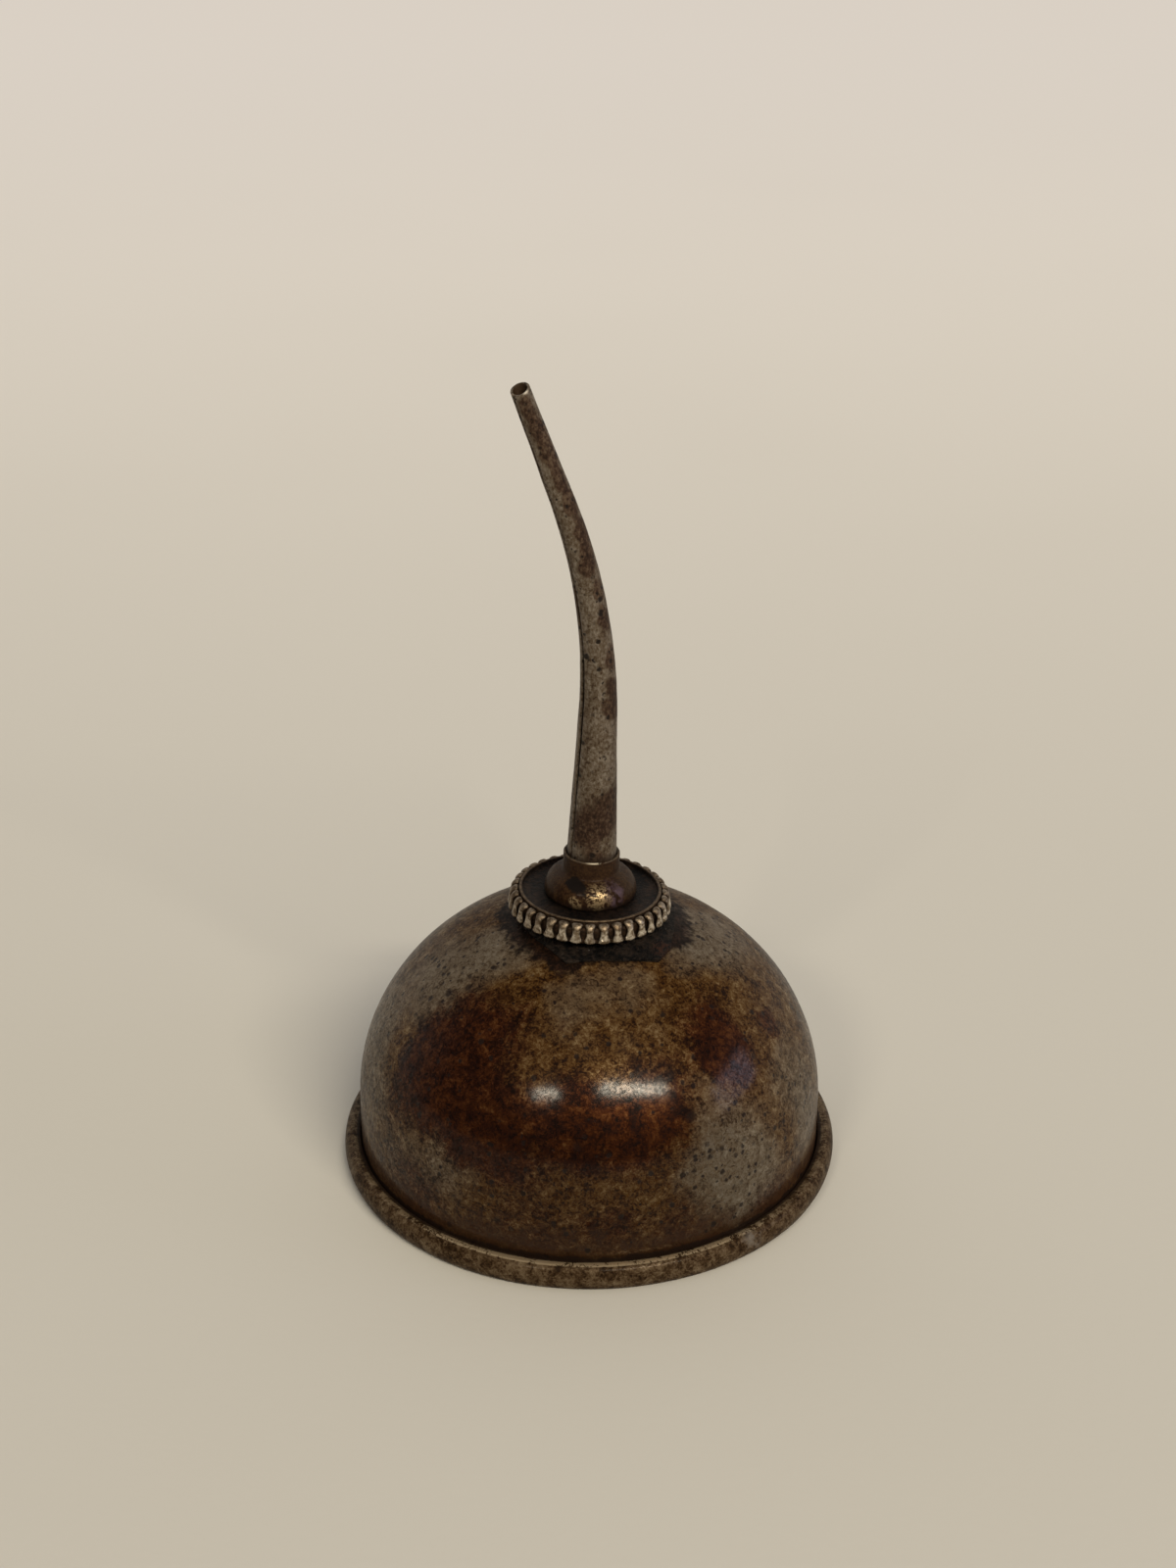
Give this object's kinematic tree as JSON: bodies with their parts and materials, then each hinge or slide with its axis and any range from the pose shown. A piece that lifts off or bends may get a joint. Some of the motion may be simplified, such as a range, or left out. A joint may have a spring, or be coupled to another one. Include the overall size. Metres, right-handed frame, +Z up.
{
  "type": "oil can",
  "caption": "Push-bottom oil can: a domed metal shell on a rolled bead, a spring bottom, and a ribbed screw cap carrying a bent rolled spout.",
  "frame": {"origin": "on the table, under the middle of the bead", "axes": "+Z up along the can, the spout's tip bends towards -X, and the picture looks along +Y from above"},
  "size_m": [0.05, 0.05, 0.0804],
  "materials": {
    "aged_shell": "plated sheet, aged to a mottled brown, satin",
    "spring_steel": "dull spring sheet, oil-stained",
    "bush_brass": "turned, oil-darkened",
    "black_leather": "oil-soaked and hardened, matt to greasy",
    "worn_cap": "bright worn ribs over black grime",
    "brown_ferrule": "brown tarnish with bright wear, semi-gloss",
    "dull_spout": "dull, pitted, dark towards foot and tip"
  },
  "bodies": {
    "can": {"can_dome": "aged_shell", "threaded_bush": "bush_brass"},
    "bottom": {"spring_bottom": "spring_steel"},
    "washer": {"leather_washer": "black_leather"},
    "spout_cap": {"screw_cap": "worn_cap", "spout_ferrule": "brown_ferrule", "spout": "dull_spout"}
  },
  "joints": [
    {"name": "bottom_press", "type": "slide", "parent": "can", "child": "bottom", "axis": [0, 0, 1], "range_m": [0, 0.0018], "stiffness_N_per_m": 6000},
    {"name": "cap_lift", "type": "slide", "parent": "can", "child": "washer", "axis": [0.0384, 0, 0.9993], "range_m": [0, 0.0045]},
    {"name": "cap_turn", "type": "hinge", "parent": "washer", "child": "spout_cap", "pos_m": [0, 0, 0.02691], "axis": [0.0384, 0, 0.9993], "range_deg": [0, 1620]}
  ],
  "couplings": [
    {"joint": "cap_lift", "follows": "cap_turn", "m_per_rad": 0.00015915}
  ]
}
